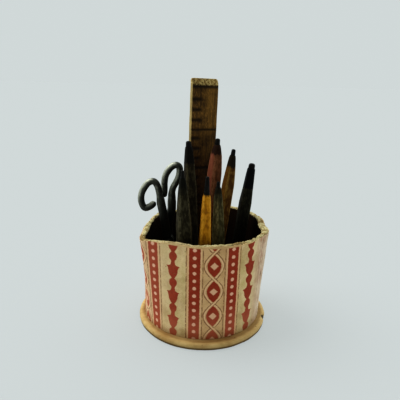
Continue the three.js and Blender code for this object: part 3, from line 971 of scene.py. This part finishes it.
def pencil_casing(name, spec, stations, seed):
    """Whittled wood: up the outside, over its thin end on the lead, and down the bore."""
    turn = rad(spec["turn"])
    taper_start = stations[2][0]
    (last_z, last_width, _), (wood_end, end_width, end_power) = stations[-2:]

    def whittle(a, z, r):
        """Knife work: long shallow cuts down the body and shorter ones on the taper."""
        c, s = math.cos(a), math.sin(a)
        long_cuts = 0.03 + 0.12 * ripple(c * 3 + seed, s * 3, z * 0.12, 1.7)
        short_cuts = 0.14 * abs(ripple(c * 2.2 + seed, s * 2.2, z * 0.3, 1.1)) - 0.03
        on_taper = unit((z - taper_start + 3) / 6)
        near_foot = min(1.0, z / 4 + 0.1)
        return (long_cuts * near_foot + short_cuts * on_taper) * min(1.0, r / 3)

    rings = []
    for (z0, w0, q0), (z1, w1, q1) in zip(stations, stations[1:]):
        steps = max(1, round((z1 - z0) / RING_SPACING))
        for k in range(steps):
            t = k / steps
            z = z0 + (z1 - z0) * t
            if z < wood_end - SHAVED - 0.3:
                rings.append(section(w0 + (w1 - w0) * t, q0 + (q1 - q0) * t, turn, z, whittle))
    bore = spec["lead"][0] + 2 * LEAD_GAP
    for k in range(5):
        t = k / 4
        z = wood_end - SHAVED + SHAVED * t
        width = end_width + (last_width - end_width) * (wood_end - z) / (wood_end - last_z)
        rings.append(section(width + (bore + 0.25 - end_width) * t * t, end_power, turn, z, whittle))
    rings.append(section(bore + 0.06, 2, turn, wood_end - 0.02))
    rings += [section(bore, 2, turn, z) for z in (wood_end - 0.4, wood_end / 2, 0.0)]
    casing = loft(f"{name}_casing", rings, hollow=True, sharp=45)
    # corner is 1 on the section's corners, where the paint is lightened as worn edges and painted
    # highlight.
    corners = [abs(math.sin(2 * a)) ** 6 for a in around(PENCIL_POINTS)]
    set_attribute(casing, "corner", corners * len(rings))
    return casing


def pencil_lead(name, spec, wood_end, length, seed):
    """A rod that comes out of the wood, with a dented, blunt tip."""
    turn = rad(spec["turn"])
    width, tip_width = spec["lead"]
    rings = [section(width - 0.2, 2, turn, 0.02), section(width, 2, turn, 0.3)]
    rings += [section(width, 2, turn, wood_end * k / 8) for k in range(1, 9)]
    shoulder = length - 0.35 * tip_width
    for k in range(1, 9):
        t = k / 8
        here = width + (tip_width - width) * t
        z = wood_end + (shoulder - wood_end) * t
        rings.append(section(here + 0.06 * ripple(seed, here, z, 0.9), 2.2, turn, z))
    for k in range(1, 6):
        a = math.pi / 2 * k / 6
        here = tip_width * (0.3 + 0.7 * math.cos(a))
        rings.append(section(here, 2, turn, shoulder + (length - shoulder) * math.sin(a)))
    return loft(f"{name}_lead", rings, sharp=50)


def pencil(name, spec):
    body = spec["widths"][0][1]
    foot_x, foot_y = spec["foot"]
    x, y, z = spec["point"]
    foot_z = CUP_FLOOR + body / 2 * math.hypot(x - foot_x, y - foot_y) / z
    base = Vector((foot_x, foot_y, foot_z))
    axis = Vector(spec["point"]) - base
    lean = Vector((0, 0, 1)).rotation_difference(axis).to_matrix().to_4x4()
    place = Matrix.Translation(base * MM) @ lean

    def along(z):
        """Length up the pencil's axis to a height in the cup."""
        return (z - foot_z) * (axis.length / axis.z)

    stations = [(0.0, body - 0.9, SQUARENESS[0]), (0.5, body, SQUARENESS[0])]
    stations += [(along(z), w, q) for (z, w), q in zip(spec["widths"], SQUARENESS)]
    seed = 10 * list(PENCILS).index(name)
    casing = pencil_casing(name, spec, stations, seed)
    casing.data.transform(place)
    paint = pencil_material(name, spec, along(spec["from"]))
    dress(casing, paint, f"{name}_pencil", f"{name}_paint", f"{name}_pencil_casing")
    lead = pencil_lead(name, spec, stations[-1][0], axis.length, seed)
    lead.data.transform(place)
    dress(lead, LEAD, f"{name}_pencil", "pencil_lead", f"{name}_pencil_lead")


def pencil_material(name, spec, stain_from):
    g = Paint(f"{name}_paint", roughness=0.6, specular=0.12)
    p = g.place()
    x, _, z = g.parts(p)
    grain = g.noise(g.stretch(p, (1, 1, 0.08)), 0.8, 4, 0.65)
    blotch = g.noise(p, 4.5, 4, 0.6)
    fleck = g.noise(g.stretch(p, (1, 1, 0.4)), 0.6, 3, 0.7)
    paint = srgb(*spec["paint"])
    deep = [c * 0.55 for c in paint]
    bare = srgb(*spec["edge"])
    dents = g.noise(g.stretch(p, (1, 1, 0.45)), 1.6, 3, 0.6)
    grime = srgb(*spec["grime"]) if "grime" in spec else deep
    colour = g.layers(
        g.mix(grain.above(0.5, 0.4), deep, paint),
        (blotch.above(0.56, 0.2) * 0.45, deep),
        (fleck.above(0.66, 0.08) * 0.5, bare),
        (dents.below(0.45, 0.12) * 0.35, bare),
        (dents.above(0.56, 0.1) * 0.6, grime),
    )
    # Painted light: the left side of the stick is lightened, as the side the light falls on.
    if "left" in spec:
        left = x.below(-1.6 + (blotch - 0.5) * 2, 1.0) * (0.4 + fleck * 0.8).clamp()
        colour = g.mix(left * 0.6, colour, srgb(*spec["left"]))
    # Painted highlight and wear: the corners take the bare-wood colour, both as worn paint and as the
    # light caught along the edges.
    worn = g.attribute("corner").above(0.55, 0.5) * fleck.above(0.46, 0.2) * blotch.above(0.42, 0.2)
    stained = z.above(stain_from + (grain - 0.5) * 5 + (blotch - 0.5) * 3, spec.get("fade", 1.2))
    stain = srgb(*spec["stain"])
    colour = g.layers(
        colour,
        (worn * 0.8, bare),
        (stained * 0.94, g.mix(fleck, [c * 0.7 for c in stain], stain)),
        # Painted shade: darker towards the foot, where the pencil stands in the cup's shade.
        (z.below(57.0, 28) * 0.45, [c * 0.35 for c in paint]),
    )
    relief = grain * 0.8 + fleck * 0.3 - dents * 0.6
    return g.finish(colour, roughness=0.5 + 0.3 * grain, height=relief, depth=0.22, strength=0.8)


def lead_material():
    g = Paint("pencil_lead", roughness=0.5, specular=0.2)
    p = g.place()
    chalk = g.noise(p, 0.7, 4, 0.7)
    streak = g.noise(g.stretch(p, (1, 1, 0.2)), 0.5, 2)
    colour = g.mix(chalk, srgb(10, 9, 7), srgb(24, 22, 18))
    colour = g.mix(streak.above(0.62, 0.1) * 0.3, colour, srgb(60, 56, 48))
    return g.finish(colour, roughness=0.4 + 0.3 * chalk, height=chalk + streak, depth=0.12, strength=0.8)


# ------------ scissors

SCISSORS = {"x": -23.1, "y": 5.0, "z": 50.0, "lean": 5.9}
WIRE_RADIUS = 2.2
# The wire's lower stretch is hammered wide up to a length of full, and is round from round on.
STEM = {"half": 2.9, "full": 17, "round": 23}
HALF_GAP = 0.2
BLADE_THICKNESS = 1.8
BOSS_THICKNESS = 2.4
BOSS_RADIUS = 3.8
BLADE_LENGTH = 45.2
BLADE_HEEL = -3.0
BLADE_NECK = 2.4
TANG_HALF = 1.9
RIVET = {"radius": 1.2, "head": 2.3, "height": 1.2, "gap": 0.3}
# Each handle's middle line from the blade's tang to the wire's end, across and up from the rivet.
FRONT_HANDLE = [
    (-0.4, 3.6), (-0.6, 8.6), (-0.7, 13.1), (-0.9, 17.2), (-1.3, 21.5), (-1.7, 25.5), (-1.8, 29),
    (-2, 32.5), (-2.4, 36), (-3.3, 38.9), (-5, 40.6), (-7.8, 40.1), (-10.7, 37.4), (-12.8, 34.2),
    (-13.9, 30.6), (-13.8, 26.8), (-12.3, 23.8), (-9.2, 24.4), (-4.9, 27.2),
]
BACK_HANDLE = [
    (0.4, 3.6), (0.7, 8.6), (1.5, 13.1), (3, 17), (4.1, 20.5), (4.6, 24.5), (5, 28.5), (5.5, 31.7),
    (6.6, 34.5), (8.3, 37.1), (10, 39.7), (11.2, 42.5), (11.8, 45.3), (11.6, 47.5), (10.4, 48.6),
    (8.6, 48.6), (6.4, 47.4), (4.2, 45.2), (2.5, 42.5), (1.5, 39.1), (1, 35.6), (0.7, 33), (0.2, 30.6),
    (-0.4, 28.6),
]
WIRE_SIDES = 24
WIRE_STEP = 0.55
FINE_STEPS = 12
WIRE_END = 1.6


def scissors_place():
    place = Vector((SCISSORS["x"], SCISSORS["y"], SCISSORS["z"])) * MM
    return Matrix.Translation(place) @ Matrix.Rotation(-rad(SCISSORS["lean"]), 4, "Y")


def smooth_line(points, spacing):
    """Points at about even spacing on a centripetal curve through these."""
    p = [Vector(points[0]) * 2 - Vector(points[1])] + [Vector(q) for q in points]
    p.append(p[-1] * 2 - p[-2])
    fine = []
    for k in range(1, len(p) - 2):
        p0, p1, p2, p3 = p[k - 1], p[k], p[k + 1], p[k + 2]
        gap = [max((b - a).length ** 0.5, 1e-6) for a, b in ((p0, p1), (p1, p2), (p2, p3))]
        m1 = (p1 - p0) / gap[0] - (p2 - p0) / (gap[0] + gap[1]) + (p2 - p1) / gap[1]
        m2 = (p2 - p1) / gap[1] - (p3 - p1) / (gap[1] + gap[2]) + (p3 - p2) / gap[2]
        m1, m2 = m1 * gap[1], m2 * gap[1]
        fine += [hermite(i / FINE_STEPS, p1, p2, m1, m2) for i in range(FINE_STEPS)]
    fine.append(p[-2])
    line = [fine[0]]
    for point in fine[1:]:
        if (point - line[-1]).length >= spacing:
            line.append(point)
    return line


def bent_wire(name, handle, y, seed):
    """Hand-drawn wire with hammered flats and a blunt, rounded end."""
    line = smooth_line(handle, WIRE_STEP)
    rings = []
    painted_highlight = []
    count = len(line)
    for i, point in enumerate(line):
        before, after = line[max(i - 1, 0)], line[min(i + 1, count - 1)]
        tangent = (after - before).normalized()
        across = Vector((tangent.y, -tangent.x))
        to_end = (count - 1 - i) * WIRE_STEP
        narrowed = unit((i * WIRE_STEP - STEM["full"]) / (STEM["round"] - STEM["full"]))
        widened = (STEM["half"] / WIRE_RADIUS - 1) * (1 - narrowed) + 1
        radius = WIRE_RADIUS - 0.08 + 0.07 * ripple(point.x, seed, point.y, 4)
        if to_end < WIRE_END:
            radius *= 0.3 + 0.7 * math.sqrt(1 - (1 - to_end / WIRE_END) ** 2)
        ring = []
        for a in around(WIRE_SIDES):
            flat = 0.05 * ripple(point.x + 2 * math.cos(a), point.y + 2 * math.sin(a), seed, 1.6)
            r = radius - 0.03 + flat
            side = across * (r * widened * math.cos(a))
            ring.append((point.x + side.x, y + r * math.sin(a), point.y + side.y))
            # Painted highlight: a share for each point by how far it faces the upper left and the camera.
            out = across * math.cos(a)
            painted_highlight.append(max(0.0, -0.55 * out.x + 0.62 * out.y - 0.56 * math.sin(a)))
        rings.append(ring)
    obj = loft(name, rings, sharp=50)
    set_attribute(obj, "painted_highlight", painted_highlight)
    return obj


def blade(name, side, tang, back_y):
    """The blade and its tang: a hollow-ground plate from a line of sections, closed at both ends."""
    tang_x, tang_z = tang
    tip, edge, back = 0.2, -1.4, 3.5

    def edges(z):
        """Left and right edge of the outline, seen from the front, before it is mirrored."""
        if z < BLADE_HEEL:
            t = (z + BLADE_LENGTH) / (BLADE_LENGTH + BLADE_HEEL)
            return tip + (edge - tip) * t, tip + (back - tip) * t ** 0.62
        if z < BLADE_NECK:
            t = (z - BLADE_HEEL) / (BLADE_NECK - BLADE_HEEL)
            return edge - (BLADE_NECK + edge) * t, back - (back - BLADE_NECK) * t
        t = (z - BLADE_NECK) / (tang_z - BLADE_NECK)
        x = side * tang_x * t
        half = BLADE_NECK + (TANG_HALF - BLADE_NECK) * t
        return x - half, x + half

    rings = []
    heights = [-BLADE_LENGTH + 0.15 + (BLADE_LENGTH + BLADE_HEEL) * (k / 40) for k in range(41)]
    heights += [BLADE_HEEL + (BLADE_NECK - BLADE_HEEL) * k / 6 for k in range(1, 7)]
    heights += [BLADE_NECK + (tang_z - BLADE_NECK) * k / 6 for k in range(1, 7)]
    for z in heights:
        left, right = edges(z)
        right = max(right, left + 0.3)
        ground = unit((-z - 2) / 3)
        chamfer = 0.25
        outline = [
            (left + 0.05, 0.4 * ground + 0.05), (left + (right - left) * 0.45, 0.0),
            (right - chamfer, 0.0), (right, chamfer), (right, 1 - chamfer), (right - chamfer, 1.0),
            (left + (right - left) * 0.45, 1.0), (left, 0.9),
        ]
        ring = []
        for x, depth in outline:
            # The ground face is the outer one; the two blades slide on their flat faces.
            level = depth if side < 0 else 1 - depth
            ring.append((side * x, back_y + BLADE_THICKNESS * level, z))
        rings.append(ring[::-1])
    return loft(name, rings, sharp=30)


def boss(name, start, depth=BOSS_THICKNESS):
    """The round eye about the rivet, with a worn edge."""
    hole = RIVET["radius"] + 0.07
    profile = [
        (hole + 0.15, 0), (BOSS_RADIUS - 0.3, 0), (BOSS_RADIUS, 0.3), (BOSS_RADIUS, depth - 0.3),
        (BOSS_RADIUS - 0.3, depth), (hole + 0.15, depth), (hole, depth - 0.15), (hole, 0.15),
    ]
    rings = [[(r * math.cos(a), start + y, -r * math.sin(a)) for a in around(48)] for r, y in profile]
    return loft(name, rings, hollow=True, sharp=30)


def rivet():
    """A pin with two domed, peened heads."""
    inside = HALF_GAP + BOSS_THICKNESS + RIVET["gap"]
    half = [(RIVET["radius"], 0.3 * inside), (RIVET["radius"], inside), (RIVET["head"] - 0.15, inside)]
    half.append((RIVET["head"], inside + 0.15))
    for k in range(1, 7):
        a = math.pi / 2 * k / 7
        half.append((RIVET["head"] * math.cos(a), inside + 0.15 + (RIVET["height"] - 0.15) * math.sin(a)))
    profile = [(r, -y) for r, y in reversed(half)] + half
    rings = []
    for r, y in profile:
        ring = []
        for a in around(40):
            c, s = math.cos(a), -math.sin(a)
            dent = 1 + 0.03 * ripple(2 * c, 2 * s, y, 0.8) * (abs(y) > inside)
            ring.append((r * dent * c, y, r * dent * s))
        rings.append(ring)
    obj = loft("rivet_pin", rings, sharp=35)
    obj.data.transform(scissors_place())
    return dress(obj, steel_material("rivet_steel", 0.42), "scissors", "rivet_steel", "scissors_rivet")


def steel_material(name, roughness):
    g = Paint(name, roughness=roughness, specular=0.6, metallic=0.5)
    p = g.place()
    _, _, z = g.parts(p)
    cloud = g.noise(p, 3.0, 4, 0.6)
    pit = g.noise(p, 0.5, 3, 0.7)
    # Painted highlight: a light streak on the faces turned to the upper left and the camera, as if they
    # caught the light; only above the stem.
    bright = g.attribute("painted_highlight").above(0.76 + (cloud - 0.5) * 0.7, 0.36) * z.above(24, 16)
    colour = g.layers(
        g.mix(cloud.above(0.5, 0.35), srgb(38, 39, 33), srgb(70, 72, 63)),
        (bright * 0.9, srgb(184, 185, 168)),
        (pit.above(0.6, 0.12) * 0.4, srgb(60, 54, 42)),
        # Painted shade: the steel darkened about the rivet and the lower stem, the stretch that stands
        # down in the cup.
        (z.near(12 + (cloud - 0.5) * 8, 12, 12) * 0.7, srgb(30, 29, 25)),
    )
    return g.finish(
        colour, roughness=roughness - 0.06 + 0.25 * pit, height=pit + cloud * 0.6, depth=0.1, strength=0.7
    )


def scissors():
    steel = steel_material("scissors_steel", 0.4)
    halves = [
        ("front", "scissors_front", FRONT_HANDLE, 1, -HALF_GAP - WIRE_RADIUS),
        ("back", "scissors", BACK_HANDLE, -1, HALF_GAP + WIRE_RADIUS),
    ]
    for name, body, handle, side, y in halves:
        wire = bent_wire(f"{name}_handle_wire", handle, y, 3 * side)
        blade_start, boss_start = HALF_GAP, HALF_GAP
        if side > 0:
            blade_start, boss_start = -HALF_GAP - BLADE_THICKNESS, -HALF_GAP - BOSS_THICKNESS
        plate = blade(f"{name}_blade", side, handle[1], blade_start)
        eye = boss(f"{name}_boss", boss_start)
        for piece in (wire, plate, eye):
            piece.data.transform(scissors_place())
            dress(piece, steel, body, "scissors_steel")
        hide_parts(f"scissors_{name}_half")
    rivet()


# ------------ the scene

bpy.context.scene.view_settings.view_transform = "Standard"
bpy.context.scene.view_settings.look = "High Contrast"

make_camera()
make_room()
base_board()
card_tube()
printed_wrap()
ruler()
scissors()
LEAD = lead_material()
for pencil_name, pencil_spec in PENCILS.items():
    pencil(pencil_name, pencil_spec)
